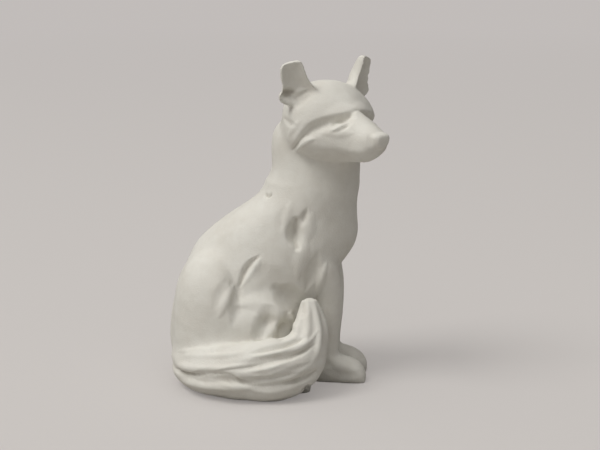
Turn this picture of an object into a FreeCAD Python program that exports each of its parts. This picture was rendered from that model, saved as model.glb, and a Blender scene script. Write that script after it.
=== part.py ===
import FreeCAD, Part
import math
import os
from FreeCAD import Placement, Rotation, Vector

# A seated fox figurine, 75 mm tall, with its tail wrapped round its right side and
# its head turned to the right. It is built up from members that are formed
# separately and luted together: trunk, neck, head, nose, ears, legs, paws and tail.
# Each member is a solid of its own, and the smaller one of two that meet is
# trimmed to the larger one, so that every joint is a fitted seat.
#
# Frame: millimetres, +Z up, the fox faces -Y, its right side is -X. The origin is
# on the surface that it sits on, in its middle plane, midway from nose to rump.

doc = FreeCAD.newDocument("fox_figurine")
sheet = doc.addObject("Spreadsheet::Sheet", "sizes")

# Driving dimensions: alias, value in millimetres or degrees, and what it is.
SIZES = (
    ("trunk_height", 46.5, "surface to neck seam"),
    ("trunk_depth", 43.6, "breast to rump, at their furthest"),
    ("trunk_width", 29.0, "across the flanks"),
    ("neck_height", 14.5, "neck seam to the top of the neck, inside the head"),
    ("neck_depth", 20.4, "throat to nape"),
    ("neck_width", 19.0, "across the ruff"),
    ("neck_line", -9.7, "Y of the centre line of neck and head"),
    ("head_level", 15.5, "neck seam to the head's centre"),
    ("head_turn", 47.0, "head turned to the fox's right, degrees"),
    ("skull_length", 5.0, "head's centre to the back of the skull"),
    ("face_length", 21.6, "head's centre to the end of the muzzle"),
    ("head_rise", 7.4, "head's centre to the crown"),
    ("head_drop", 10.6, "head's centre to the jaw"),
    ("head_width", 21.4, "across the cheeks"),
    ("nose_width", 4.8, "across the nose pad"),
    ("nose_height", 3.8, "nose pad, top to bottom"),
    ("nose_length", 3.4, "nose pad, from inside the muzzle to its front"),
    ("nose_proud", 1.2, "nose pad in front of the muzzle"),
    ("ear_height", 9.4, "root inside the head to tip"),
    ("ear_width", 7.6, "across the ear near its root"),
    ("ear_thickness", 4.4, "front to back near its root"),
    ("ear_wall", 1.2, "wall behind the ear's hollow"),
    ("ear_rim", 0.8, "rim beside the ear's hollow"),
    ("ear_splay", 13.0, "ear leaning outwards, degrees"),
    ("ear_facing", 28.0, "ear's hollow turned outwards, degrees"),
    ("foreleg_spacing", 8.2, "between the two forelegs' centre lines"),
    ("foreleg_height", 33.0, "surface to the top of the shoulder"),
    ("foreleg_depth", 6.2, "front to back above the wrist"),
    ("foreleg_width", 6.0, "across, above the wrist"),
    ("foreleg_line", -12.9, "Y of the foreleg's centre line"),
    ("forepaw_length", 12.0, "heel to toes"),
    ("forepaw_width", 7.0, "across the toes"),
    ("forepaw_height", 6.6, "surface to the wrist"),
    ("forepaw_heel", 3.3, "foreleg's centre line back to the heel"),
    ("haunch_proud", 2.7, "thigh's outside beyond the flank"),
    ("haunch_length", 29.2, "knee to the back of the thigh"),
    ("haunch_height", 34.0, "underside of the thigh's outline to its top"),
    ("haunch_line", 8.4, "Y of the thigh's middle"),
    ("haunch_level", 14.0, "surface to the thigh's middle"),
    ("hind_foot_length", 14.0, "hock to toes"),
    ("hind_foot_width", 7.6, "across the toes"),
    ("hind_foot_height", 6.4, "surface to the top of the foot"),
    ("hind_foot_reach", 3.0, "knee forward to the toes"),
    ("tail_girth", 13.6, "tail's height where it is fullest"),
    ("tail_breadth", 11.0, "tail's width where it is fullest"),
    ("tail_aside", 2.4, "thigh's outside to the tail's centre line"),
    ("tail_inset", 5.4, "rump forward to the tail's centre line"),
    ("tail_reach", 8.2, "origin to the tail's centre line in front"),
    ("tail_tip_height", 21.7, "surface to the tip"),
    ("groove_radius", 1.3, "round tool that draws the grooves of the tail's fur"),
    ("groove_depth", 0.8, "grooves of the tail's fur, at their deepest"),
    ("groove_sweep", 21.9, "radius of the sweep that the grooves make round the tail"),
    ("groove_span", 180.0, "how far round the sweep goes, degrees"),
    ("sole_overrun", 0.8, "how far the paws' outlines pass below the surface"),
    ("overrun", 60.0, "size that clears every member"),
)
for row, (alias, value, what) in enumerate(SIZES, start=1):
    sheet.set(f"A{row}", what)
    sheet.set(f"B{row}", str(value))
    sheet.setAlias(f"B{row}", alias)
doc.recompute()


def size(alias):
    """A driving dimension, read back from the sheet."""
    return float(sheet.get(alias))


X, Y, Z = Vector(1, 0, 0), Vector(0, 1, 0), Vector(0, 0, 1)

ROUND_POINTS = 8
ROUND_SHARES = tuple(
    (math.cos(math.tau * i / ROUND_POINTS), math.sin(math.tau * i / ROUND_POINTS))
    for i in range(ROUND_POINTS)
)


def section(centre, across, over, half_width, half_height, outline_shares=ROUND_SHARES):
    """A closed smooth section: the outline's shares are of the two half sizes."""
    curve = Part.BSplineCurve()
    curve.interpolate(
        Points=[
            centre + across * (half_width * u) + over * (half_height * v)
            for u, v in outline_shares
        ],
        PeriodicFlag=True,
        Parameters=[float(i) for i in range(len(outline_shares) + 1)],
    )
    return Part.Wire(curve.toShape())


def loft(sections):
    """One solid through the sections, in their order."""
    solid = Part.makeLoft(sections, True, False)
    if solid.Volume < 0:
        solid.reverse()
    return solid


def form(name, shape, placement=None):
    """A member's full form, before it is trimmed to its neighbours."""
    feature = doc.addObject("Part::Feature", name)
    feature.Shape = shape
    if placement is not None:
        feature.Placement = placement
    return feature


def mirrored(name, source):
    """The same form on the fox's other side."""
    feature = doc.addObject("Part::Mirroring", name)
    feature.Source = source
    feature.Normal = X
    return feature


def trimmed(name, base, *tools):
    """base with each of the tools cut out of it, labelled as a finished member."""
    for number, tool in enumerate(tools, start=1):
        feature = doc.addObject("Part::Cut", f"{name}_trim_{number}")
        feature.Base = base
        feature.Tool = tool
        feature.Refine = False
        base = feature
    base.Label = name
    return base


# The surface under the figurine: what reaches below it is cut off flat.
ground = doc.addObject("Part::Box", "ground")
for side in ("Length", "Width", "Height"):
    ground.setExpression(side, "sizes.overrun * 2")
ground.setExpression("Placement.Base.x", "-sizes.overrun")
ground.setExpression("Placement.Base.y", "-sizes.overrun")
ground.setExpression("Placement.Base.z", "-sizes.overrun * 2")

# Trunk: level sections from the seat to the neck seam.
# Shares of the height, of the depth to the breast and to the back, and of the half width.
RUMP_SHARE = 0.56
TRUNK_SHARES = (
    (-0.02, 0.05, 0.470, 0.78),
    (0.08, 0.12, 0.542, 0.92),
    (0.26, 0.20, RUMP_SHARE, 1.00),
    (0.43, 0.27, 0.530, 0.96),
    (0.58, 0.35, 0.470, 0.87),
    (0.71, 0.435, 0.388, 0.79),
    (0.82, 0.440, 0.250, 0.73),
    (0.92, 0.440, 0.100, 0.69),
    (1.00, 0.450, 0.045, 0.655),
)


def level_section(height, breast, back, half_width):
    """A level section between its breast and back lines."""
    half_depth = (back + breast) / 2
    return section(Vector(0, (back - breast) / 2, height), X, Y, half_width, half_depth)


def trunk_section(up, breast, back, width):
    """One level section of the trunk, from its shares."""
    depth = size("trunk_depth")
    return level_section(
        size("trunk_height") * up, depth * breast, depth * back, size("trunk_width") / 2 * width
    )


trunk = form("trunk_form", loft([trunk_section(*shares) for shares in TRUNK_SHARES]))

# Neck: stands on the trunk's top face and runs up inside the head.
# Shares of the height, of the half depth to the throat and to the nape, and of the half width.
NECK_SHARES = (
    (0.25, 0.98, 1.00, 0.96),
    (0.55, 0.93, 1.00, 0.92),
    (0.82, 0.76, 0.92, 0.82),
    (1.00, 0.56, 0.66, 0.64),
)


def neck_sections():
    """The trunk's own top section, then the neck's."""
    middle, half_depth = size("neck_line"), size("neck_depth") / 2
    return [trunk_section(*TRUNK_SHARES[-1])] + [
        level_section(
            size("trunk_height") + size("neck_height") * up,
            half_depth * throat - middle,
            half_depth * nape + middle,
            size("neck_width") / 2 * width,
        )
        for up, throat, nape, width in NECK_SHARES
    ]


neck = form("neck_form", loft(neck_sections()))

# Head: upright sections from the back of the skull to the end of the muzzle, in a
# frame of its own that is turned to the fox's right.
head_placement = Placement(
    Vector(0, size("neck_line"), size("trunk_height") + size("head_level")),
    Rotation(Z, -size("head_turn")),
)
# Outline of a section, from the left cheek round over the crown: fullest low on the cheeks.
HEAD_OUTLINE_SHARES = (
    (1.00, -0.12),
    (0.82, 0.60),
    (0.00, 1.00),
    (-0.82, 0.60),
    (-1.00, -0.12),
    (-0.82, -0.66),
    (0.00, -1.00),
    (0.82, -0.66),
)
# Shares of the length behind or before the centre, then of the rise, drop and half width.
SKULL_SHARES = (
    (1.00, 0.34, 0.10, 0.26),
    (0.86, 0.60, 0.46, 0.50),
    (0.52, 0.84, 0.80, 0.74),
)
FACE_SHARES = (
    (0.02, 1.00, 0.98, 0.91),
    (0.18, 1.05, 1.00, 0.99),
    (0.34, 0.94, 0.97, 0.95),
    (0.47, 0.66, 0.93, 0.78),
    (0.60, 0.34, 0.91, 0.56),
    (0.72, 0.10, 0.89, 0.43),
    (0.84, -0.08, 0.84, 0.36),
    (0.94, -0.22, 0.70, 0.30),
    (1.00, -0.34, 0.55, 0.20),
)


def head_section(forward, rise, drop, width):
    """An upright section across the head, forward of its centre."""
    top, bottom = size("head_rise") * rise, size("head_drop") * drop
    centre = Vector(0, -forward, (top - bottom) / 2)
    return section(
        centre, X, Z, size("head_width") / 2 * width, (top + bottom) / 2, HEAD_OUTLINE_SHARES
    )


head = form(
    "head_form",
    loft(
        [head_section(-size("skull_length") * back, *shares) for back, *shares in SKULL_SHARES]
        + [head_section(size("face_length") * front, *shares) for front, *shares in FACE_SHARES]
    ),
    head_placement,
)

# Nose: a squarish pad pressed on the end of the muzzle.
# Its level as a share of the head's drop, then shares of its length, height and width.
NOSE_LEVEL_SHARE = 0.38
NOSE_SHARES = ((0.00, 0.80, 0.76), (0.50, 1.00, 1.00), (0.82, 0.90, 0.90), (1.00, 0.56, 0.58))
NOSE_OUTLINE_SHARES = (
    (1.00, 0.20),
    (0.74, 0.84),
    (0.00, 1.00),
    (-0.74, 0.84),
    (-1.00, 0.20),
    (-0.62, -0.78),
    (0.00, -1.00),
    (0.62, -0.78),
)
nose = form(
    "nose_form",
    loft(
        [
            section(
                Vector(
                    0,
                    size("nose_length") * (1 - along) - size("face_length") - size("nose_proud"),
                    -size("head_drop") * NOSE_LEVEL_SHARE,
                ),
                X,
                Z,
                size("nose_width") / 2 * wide,
                size("nose_height") / 2 * tall,
                NOSE_OUTLINE_SHARES,
            )
            for along, tall, wide in NOSE_SHARES
        ]
    ),
    head_placement,
)

# Ears: an upright leaf that narrows to a blunt tip, hollowed from the front.
# Root: shares of the head's half width, of the face length and of the head's rise.
EAR_ROOT_SHARES = (0.74, 0.22, 0.44)
# Shares of the height, then of the half width and of the thickness.
EAR_SHARES = (
    (0.00, 1.04, 1.00),
    (0.40, 1.00, 1.00),
    (0.68, 0.86, 0.84),
    (0.89, 0.64, 0.60),
    (1.00, 0.32, 0.34),
)
HOLLOW_SHARES = (
    (0.30, 0.70, 0.50),
    (0.46, 1.00, 0.94),
    (0.68, 0.88, 0.90),
    (0.87, 0.56, 0.64),
    (0.95, 0.24, 0.40),
)


def ear_form(name, shares, front, half_width, half_thickness):
    """An upright loft on the left ear's root, its middle plane that far to the front."""
    sections = [
        section(
            Vector(0, -front, size("ear_height") * up),
            X,
            Y,
            half_width * wide,
            half_thickness * thick,
        )
        for up, wide, thick in shares
    ]
    aside, forward, up = EAR_ROOT_SHARES
    root = Vector(
        size("head_width") / 2 * aside, -size("face_length") * forward, size("head_rise") * up
    )
    lean = Rotation(Y, size("ear_splay")) * Rotation(Z, size("ear_facing"))
    return form(name, loft(sections), Placement(root, lean))


def ear(name, mirror):
    """One ear, cupped in the head's frame and then set on the turned head."""
    half_width, thickness = size("ear_width") / 2, size("ear_thickness")
    leaf = ear_form(f"{name}_leaf", EAR_SHARES, 0, half_width, thickness / 2)
    hollow = ear_form(
        f"{name}_hollow",
        HOLLOW_SHARES,
        thickness / 2,
        half_width - size("ear_rim"),
        thickness - size("ear_wall"),
    )
    cup = trimmed(f"{name}_cup", leaf, hollow)
    if mirror:
        cup = mirrored(f"{name}_mirror", cup)
    doc.recompute()
    return form(f"{name}_form", cup.Shape.copy(), head_placement)


left_ear = ear("left_ear", mirror=False)
right_ear = ear("right_ear", mirror=True)

# Forelegs: level sections from inside the paw to the top of the shoulder.
# Shares of the height, of the half depth and half width, and how far back and out
# the section lies, as shares of the depth and of the width.
FORELEG_SHARES = (
    (0.04, 0.80, 0.80, 0.10, 0.00),
    (0.22, 0.84, 0.84, 0.06, 0.00),
    (0.40, 0.92, 0.92, 0.02, 0.00),
    (0.60, 1.04, 1.00, 0.00, 0.08),
    (0.76, 1.32, 1.12, 0.22, 0.20),
    (0.90, 1.50, 1.16, 0.55, 0.26),
    (1.00, 1.10, 0.86, 0.90, 0.20),
)


def foreleg_section(up, deep, wide, behind, out):
    """One level section of the left foreleg, from its shares."""
    depth, width = size("foreleg_depth"), size("foreleg_width")
    centre = Vector(
        size("foreleg_spacing") / 2 + width * out,
        size("foreleg_line") + depth * behind,
        size("foreleg_height") * up,
    )
    return section(centre, X, Y, width / 2 * wide, depth / 2 * deep)


left_foreleg = form("left_foreleg_form", loft([foreleg_section(*s) for s in FORELEG_SHARES]))
right_foreleg = mirrored("right_foreleg_form", left_foreleg)

# Haunches: the thigh's side outline, drawn smaller and smaller out to its bulge.
# Outline from the knee round over the thigh: shares of the half length and half height.
HAUNCH_OUTLINE_SHARES = (
    (-1.00, 0.20),
    (-0.78, 0.44),
    (-0.42, 0.50),
    (-0.08, 0.62),
    (0.06, 0.88),
    (0.42, 1.04),
    (0.86, 0.72),
    (1.00, 0.05),
    (0.90, -0.62),
    (0.30, -1.02),
    (-0.40, -0.94),
    (-0.86, -0.40),
)
# Shares of the bulge and of the outline.
HAUNCH_SHARES = (
    (0.00, 0.98),
    (0.45, 0.96),
    (0.70, 0.84),
    (0.86, 0.66),
    (0.96, 0.42),
    (1.00, 0.18),
)
# Where the thigh starts inside the trunk, as a share of the trunk's half width.
HAUNCH_ROOT_SHARE = 0.20
haunch_root = size("trunk_width") / 2 * HAUNCH_ROOT_SHARE
haunch_face = size("trunk_width") / 2 + size("haunch_proud")


def haunch_section(out, scale):
    """One upright section of the left haunch, from its shares."""
    side = haunch_root + (haunch_face - haunch_root) * out
    return section(
        Vector(side, size("haunch_line"), size("haunch_level")),
        Y,
        Z,
        size("haunch_length") / 2 * scale,
        size("haunch_height") / 2 * scale,
        HAUNCH_OUTLINE_SHARES,
    )


left_haunch = form("left_haunch_form", loft([haunch_section(*s) for s in HAUNCH_SHARES]))
right_haunch = mirrored("right_haunch_form", left_haunch)

# Paws and feet: upright sections from the heel to the toes, cut flat by the surface.
# Shares of the length, of the height and of the half width.
PAW_SHARES = (
    (0.00, 0.46, 0.40),
    (0.14, 0.84, 0.76),
    (0.36, 1.00, 0.90),
    (0.60, 0.90, 1.00),
    (0.82, 0.72, 0.94),
    (0.95, 0.48, 0.68),
    (1.00, 0.26, 0.34),
)
HIND_FOOT_SHARES = (
    (0.00, 0.80, 0.70),
    (0.30, 1.00, 0.84),
    (0.60, 0.94, 0.96),
    (0.82, 0.78, 1.00),
    (0.94, 0.52, 0.76),
    (1.00, 0.26, 0.36),
)
# The hind foot's centre line, as a share of the way out to the thigh's outside.
HIND_FOOT_SIDE_SHARE = 0.62


def paw(name, side, heel, part, shares):
    """A left paw or foot, whose length, height and width are the named part's."""
    length, height, width = (size(f"{part}_{way}") for way in ("length", "height", "width"))
    sole = size("sole_overrun")
    sections = [
        section(
            Vector(side, heel - length * along, (height * tall - sole) / 2),
            X,
            Z,
            width / 2 * wide,
            (height * tall + sole) / 2,
        )
        for along, tall, wide in shares
    ]
    return form(name, loft(sections))


left_forepaw = paw(
    "left_forepaw_form",
    size("foreleg_spacing") / 2,
    size("foreleg_line") + size("forepaw_heel"),
    "forepaw",
    PAW_SHARES,
)
right_forepaw = mirrored("right_forepaw_form", left_forepaw)

knee = size("haunch_line") - size("haunch_length") / 2
left_hind_foot = paw(
    "left_hind_foot_form",
    haunch_root + (haunch_face - haunch_root) * HIND_FOOT_SIDE_SHARE,
    knee - size("hind_foot_reach") + size("hind_foot_length"),
    "hind_foot",
    HIND_FOOT_SHARES,
)
right_hind_foot = mirrored("right_hind_foot_form", left_hind_foot)

# Tail: sections square to a path that leaves the rump, lies along the right thigh and
# turns up in front of it. Shares of the reach aside, behind and in front, of the
# tip's height, of the girth and of the breadth.
TAIL_SHARES = (
    (0.04, 0.78, 0.00, 0.22, 0.54, 0.60),
    (0.42, 0.98, 0.00, 0.25, 0.74, 0.88),
    (0.84, 0.66, 0.00, 0.27, 0.88, 0.96),
    (0.98, 0.14, 0.00, 0.30, 1.01, 1.00),
    (0.93, 0.00, 0.42, 0.33, 1.05, 1.00),
    (0.82, 0.00, 0.88, 0.42, 0.94, 0.88),
    (0.71, 0.00, 1.10, 0.62, 0.68, 0.64),
    (0.63, 0.00, 1.11, 0.84, 0.42, 0.40),
    (0.59, 0.00, 1.07, 1.00, 0.14, 0.13),
)


def tail_path():
    """The tail's centre line, a point for each section."""
    aside = haunch_face + size("tail_aside")
    behind = size("trunk_depth") * RUMP_SHARE - size("tail_inset")
    return [
        Vector(
            -aside * out,
            behind * back - size("tail_reach") * front,
            size("tail_tip_height") * up,
        )
        for out, back, front, up, *_ in TAIL_SHARES
    ]


def tail_sections():
    """Sections square to the path, each set by the direction out from the fox's middle."""
    path = tail_path()
    half_breadth, half_girth = size("tail_breadth") / 2, size("tail_girth") / 2
    sections = []
    for number, (*_, girth, breadth) in enumerate(TAIL_SHARES):
        before = path[max(number - 1, 0)]
        after = path[min(number + 1, len(path) - 1)]
        along = (after - before).normalize()
        aside = Vector(path[number].x, path[number].y, 0)
        outward = (aside - along * aside.dot(along)).normalize()
        over = outward.cross(along).normalize()
        sections.append(
            section(path[number], outward, over, half_breadth * breadth, half_girth * girth)
        )
    return sections


tail = form("tail_form", loft(tail_sections()))

# Grooves of the fur: a round tool swept round the outside of the tail, fading out where
# the tail curves away from the sweep. Shares of the tip's height for the groove's level,
# of the breadth for its inset, and of a right angle for its rise towards the front.
TAIL_GROOVE_SHARES = ((0.45, 0.05, 0.144), (0.26, 0.00, 0.033))
# Middle of the sweep, as a share of the way back to the tail's rearmost line.
SWEEP_LINE_SHARE = 0.17


def tail_groove(number, level, inset, rise):
    """The tool's sweep round the right side, as part of a ring that is tilted up in front."""
    ring = doc.addObject("Part::Torus", f"tail_groove_{number}")
    reach = "sizes.groove_sweep + sizes.groove_radius - sizes.groove_depth"
    ring.setExpression("Radius1", f"{reach} - sizes.tail_breadth * {inset}")
    ring.setExpression("Radius2", "sizes.groove_radius")
    ring.setExpression("Angle3", "sizes.groove_span")
    side = haunch_face + size("tail_aside")
    outside = max(
        side * out + size("tail_breadth") / 2 * breadth for out, *_, breadth in TAIL_SHARES
    )
    behind = size("trunk_depth") * RUMP_SHARE - size("tail_inset")
    ring.Placement = Placement(
        Vector(
            size("groove_sweep") - outside,
            behind * SWEEP_LINE_SHARE,
            size("tail_tip_height") * level,
        ),
        Rotation(X, -90 * rise) * Rotation(Z, 180 - size("groove_span") / 2),
    )
    return ring


tail_grooves = [
    tail_groove(number, *shares) for number, shares in enumerate(TAIL_GROOVE_SHARES, start=1)
]

doc.recompute()

# Members: each is trimmed to the surface and to the larger members that it meets.
members = [
    trimmed("torso", trunk, ground),
    trimmed("head", head),
    trimmed("neck", neck, head),
    trimmed("nose", nose, head),
    trimmed("left_ear", left_ear, head),
    trimmed("right_ear", right_ear, head),
    trimmed("left_haunch", left_haunch, trunk, ground),
    trimmed("right_haunch", right_haunch, trunk, ground),
    trimmed("left_forepaw", left_forepaw, ground),
    trimmed("right_forepaw", right_forepaw, ground),
    trimmed("left_foreleg", left_foreleg, trunk, left_forepaw, ground),
    trimmed("right_foreleg", right_foreleg, trunk, right_forepaw, ground),
    trimmed("tail", tail, trunk, right_haunch, ground, *tail_grooves),
    trimmed("left_hind_foot", left_hind_foot, trunk, left_haunch, ground),
    trimmed("right_hind_foot", right_hind_foot, trunk, right_haunch, tail, ground),
]
doc.recompute()

# Nothing is written unless every object and every member came out sound.
for item in doc.Objects:
    if "Invalid" in item.State or "Error" in item.State:
        raise RuntimeError(f"{item.Label} failed: {item.State}")
for member in members:
    shape = member.Shape
    if shape.isNull() or not shape.isValid() or not shape.Solids:
        raise RuntimeError(f"{member.Label} has no valid solid")
os.makedirs("parts", exist_ok=True)
for member in members:
    member.Shape.exportStep(f"parts/{member.Label}.step")
    print(f"{member.Label}: {len(member.Shape.Solids)} solid, {member.Shape.Volume:.1f} mm3")
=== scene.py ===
"""A seated fox modelled by hand in white clay.

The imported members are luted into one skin, the skin is modelled with strokes and
dabs of a modelling tool, and it is then parted again, one closed piece to each member.
Sizes are in millimetres in the fox's own frame (+Z up, the fox faces -Y, its right
side is -X) unless a name ends in PX: those are pixels of the 600 x 450 photograph.
"""

import math

import bmesh
import bpy
import numpy as np
from mathutils import Matrix, Vector, noise
from mathutils.bvhtree import BVHTree


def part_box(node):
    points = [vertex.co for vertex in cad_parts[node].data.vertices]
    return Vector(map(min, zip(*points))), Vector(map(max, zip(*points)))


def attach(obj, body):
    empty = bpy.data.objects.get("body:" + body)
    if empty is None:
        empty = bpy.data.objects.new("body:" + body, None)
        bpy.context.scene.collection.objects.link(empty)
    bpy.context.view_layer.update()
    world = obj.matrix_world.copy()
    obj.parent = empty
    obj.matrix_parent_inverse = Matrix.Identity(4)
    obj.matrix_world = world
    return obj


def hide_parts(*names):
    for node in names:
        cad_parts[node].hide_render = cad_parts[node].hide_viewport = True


MM = 0.001
TINY = 1e-12
PICTURE_WIDTH, PICTURE_HEIGHT = 600, 450

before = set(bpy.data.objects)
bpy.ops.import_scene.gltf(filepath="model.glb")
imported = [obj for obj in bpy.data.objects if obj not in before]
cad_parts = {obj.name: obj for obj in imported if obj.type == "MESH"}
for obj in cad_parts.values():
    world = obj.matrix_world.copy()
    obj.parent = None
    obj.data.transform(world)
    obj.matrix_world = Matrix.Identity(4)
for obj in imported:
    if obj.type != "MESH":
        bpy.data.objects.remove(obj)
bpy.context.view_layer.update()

# Camera: the photograph's view of the fox's right side, a little from above.
LENS, SENSOR = 85.0, 36.0
CAMERA_AZIMUTH, CAMERA_ELEVATION = math.radians(-86), math.radians(12)
CAMERA_DISTANCE = 335.0
SEAT_PX = (275, 373)
FOCAL_PX = PICTURE_WIDTH * LENS / SENSOR
# The camera sees from the first of these shares of its distance to the second.
CLIP_SHARES = (0.01, 100)


class Camera:
    """Where the photograph was taken from, and the ray behind each of its pixels."""

    def __init__(self):
        level = math.cos(CAMERA_ELEVATION)
        self.back = Vector(
            (
                math.sin(CAMERA_AZIMUTH) * level,
                -math.cos(CAMERA_AZIMUTH) * level,
                math.sin(CAMERA_ELEVATION),
            )
        )
        self.right = Vector((math.cos(CAMERA_AZIMUTH), math.sin(CAMERA_AZIMUTH), 0))
        self.up = self.back.cross(self.right)
        aside = (SEAT_PX[0] - PICTURE_WIDTH / 2) / FOCAL_PX * CAMERA_DISTANCE
        below = (SEAT_PX[1] - PICTURE_HEIGHT / 2) / FOCAL_PX * CAMERA_DISTANCE
        self.place = self.back * CAMERA_DISTANCE - self.right * aside + self.up * below

    def ray(self, x, y):
        """The direction from the camera through a pixel."""
        across = (x - PICTURE_WIDTH / 2) / FOCAL_PX
        rise = (PICTURE_HEIGHT / 2 - y) / FOCAL_PX
        return (self.right * across + self.up * rise - self.back).normalized()

    def make(self):
        """The scene's camera."""
        data = bpy.data.cameras.new("camera")
        data.lens = LENS
        data.sensor_width = SENSOR
        data.clip_start, data.clip_end = (CAMERA_DISTANCE * MM * share for share in CLIP_SHARES)
        camera = bpy.data.objects.new("camera", data)
        turn = Matrix((self.right, self.up, self.back)).transposed().to_4x4()
        camera.matrix_world = Matrix.Translation(self.place * MM) @ turn
        bpy.context.scene.collection.objects.link(camera)
        bpy.context.scene.camera = camera


camera = Camera()
camera.make()

# Nodes


def feed(tree, socket, value):
    """Links a shader value to a socket, or sets a plain value on it."""
    if isinstance(value, Value):
        tree.links.new(value.link, socket)
    else:
        socket.default_value = value


def socket_of(node, name):
    """A node's input by its name, or by its place where the name is in and a number."""
    if name.startswith("in") and name[2:].isdigit():
        return node.inputs[int(name[2:])]
    wanted = name.replace("_", " ")
    return next(s for s in node.inputs if s.name == wanted and s.enabled)


class Value:
    """A shader value that takes part in sums written as Python expressions."""

    def __init__(self, tree, link):
        self.tree, self.link = tree, link

    def math(self, operation, first, second):
        """A Math node on two values."""
        node = self.tree.nodes.new("ShaderNodeMath")
        node.operation = operation
        for socket, value in zip(node.inputs, (first, second)):
            feed(self.tree, socket, value)
        return Value(self.tree, node.outputs[0])

    def __add__(self, other):
        return self.math("ADD", self, other)

    def __radd__(self, other):
        return self.math("ADD", other, self)

    def __sub__(self, other):
        return self.math("SUBTRACT", self, other)

    def __rsub__(self, other):
        return self.math("SUBTRACT", other, self)

    def __mul__(self, other):
        return self.math("MULTIPLY", self, other)

    def __rmul__(self, other):
        return self.math("MULTIPLY", other, self)


# Places of the sockets of a Mix node for colours, and of two outputs that are read by place.
MIX_INPUTS, MIX_OUTPUT = (0, 6, 7), 2
OBJECT_COORDINATES, ATTRIBUTE_NUMBER = 3, 2


class Finish:
    """A material that is put together node by node."""

    def __init__(self, name):
        self.material = bpy.data.materials.new(name)
        self.material.use_nodes = True
        self.tree = self.material.node_tree
        self.tree.nodes.clear()

    def node(self, kind, output=0, settings=(), **inputs):
        """A node with its settings, then the values or links of its sockets, by their names."""
        node = self.tree.nodes.new(kind)
        for name, value in dict(settings).items():
            setattr(node, name, value)
        for name, value in inputs.items():
            feed(self.tree, socket_of(node, name), value)
        return Value(self.tree, node.outputs[output])

    def mix(self, share, first, second):
        """Two colours, mixed by share."""
        node = self.tree.nodes.new("ShaderNodeMix")
        node.data_type = "RGBA"
        for place, value in zip(MIX_INPUTS, (share, first, second)):
            feed(self.tree, node.inputs[place], value)
        return Value(self.tree, node.outputs[MIX_OUTPUT])

    def surface(self, shader):
        """Ends the material in this shader."""
        output = self.tree.nodes.new("ShaderNodeOutputMaterial")
        self.tree.links.new(shader.link, output.inputs["Surface"])
        return self.material


# Clay: matt and chalky, with painted shade that makes it a little warmer and darker in the creases.
CLAY_COLOUR = (0.80, 0.79, 0.735, 1)
CLAY_SHADE_COLOUR = (0.735, 0.715, 0.655, 1)
# Painted shade: the warmer, darker colour that the creases turn towards.
CLAY_CREASE_SHADE_COLOUR = (0.50, 0.47, 0.41, 1)
CREASE_NAME = "crease"
# Each kind of unevenness: how many times it repeats in a metre, and its detail.
MOTTLE = {"Scale": 140.0, "Detail": 3.0, "Roughness": 0.55}
BLOTCH = {"Scale": 420.0, "Detail": 4.0, "Roughness": 0.6}
GRAIN = {"Scale": 2600.0, "Detail": 5.0, "Roughness": 0.62}
SCRAPE = {"Scale": 900.0, "Detail": 2.0, "Distortion": 1.2}
PITS = {"Scale": 1500.0, "Randomness": 1.0}
# Shares of mottle and blotch in the clay's clouds, and the sums between which they turn.
CLOUD_SHARES = (0.6, 0.4)
CLOUD_REACH = {"From_Min": 0.36, "From_Max": 0.64}
# How much the blotches break up the painted shade in the creases, where it turns, and how much of it is
# seen.
PAINTED_SHADE_BREAK, PAINTED_SHADE_SHARE = 0.5, 0.8
PAINTED_SHADE_REACH = {"From_Min": 0.15, "From_Max": 1.1}
PIT_REACH = {"From_Min": 0.05, "From_Max": 0.28}
# Heights of grain, scrape, blotch and pit in the fine relief.
RELIEF_SHARES = (0.75, 0.45, 0.5, 0.16)
RELIEF_STRENGTH, RELIEF_METRES = 0.55, 0.00016
# Roughness of the bare clay, and what grain and creases add to it.
CLAY_ROUGHNESS, GRAIN_ROUGHNESS, CREASE_ROUGHNESS = 0.80, 0.16, 0.08
CLAY_SHEEN = 0.32
# The middle of a noise, whose values run from 0 to 1.
MIDDLE = 0.5


def clay_finish():
    """Unglazed white clay: mottled, fine-grained, with small pits and rubbed high places, and painted
    shade that darkens and warms its creases.
    """
    clay = Finish("white_clay")
    place = clay.node("ShaderNodeTexCoord", OBJECT_COORDINATES)
    mottle = clay.node("ShaderNodeTexNoise", Vector=place, **MOTTLE)
    blotch = clay.node("ShaderNodeTexNoise", Vector=place, **BLOTCH)
    grain = clay.node("ShaderNodeTexNoise", Vector=place, **GRAIN)
    scrape = clay.node("ShaderNodeTexNoise", Vector=place, **SCRAPE)
    pits = clay.node("ShaderNodeTexVoronoi", Vector=place, **PITS)
    crease = clay.node("ShaderNodeAttribute", ATTRIBUTE_NUMBER, {"attribute_name": CREASE_NAME})
    clouds = mottle * CLOUD_SHARES[0] + blotch * CLOUD_SHARES[1]
    cloud = clay.node("ShaderNodeMapRange", Value=clouds, **CLOUD_REACH)
    body = clay.mix(cloud, CLAY_COLOUR, CLAY_SHADE_COLOUR)
    # Painted shade in the creases: the colour darkens where the skin is hollow, broken up by the
    # blotches.
    broken = crease + (blotch - MIDDLE) * PAINTED_SHADE_BREAK
    painted_shade = clay.node("ShaderNodeMapRange", Value=broken, **PAINTED_SHADE_REACH)
    colour = clay.mix(painted_shade * PAINTED_SHADE_SHARE, body, CLAY_CREASE_SHADE_COLOUR)
    pit = clay.node("ShaderNodeMapRange", Value=pits, **PIT_REACH)
    of_grain, of_scrape, of_blotch, of_pit = RELIEF_SHARES
    relief = grain * of_grain + scrape * of_scrape + blotch * of_blotch + pit * of_pit
    bump = clay.node("ShaderNodeBump", Strength=RELIEF_STRENGTH, Distance=RELIEF_METRES, Height=relief)
    roughness = CLAY_ROUGHNESS + (grain - MIDDLE) * GRAIN_ROUGHNESS + crease * CREASE_ROUGHNESS
    shader = clay.node(
        "ShaderNodeBsdfPrincipled",
        Base_Color=colour,
        Roughness=roughness,
        Specular_IOR_Level=CLAY_SHEEN,
        Normal=bump,
    )
    return clay.surface(shader)


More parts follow.
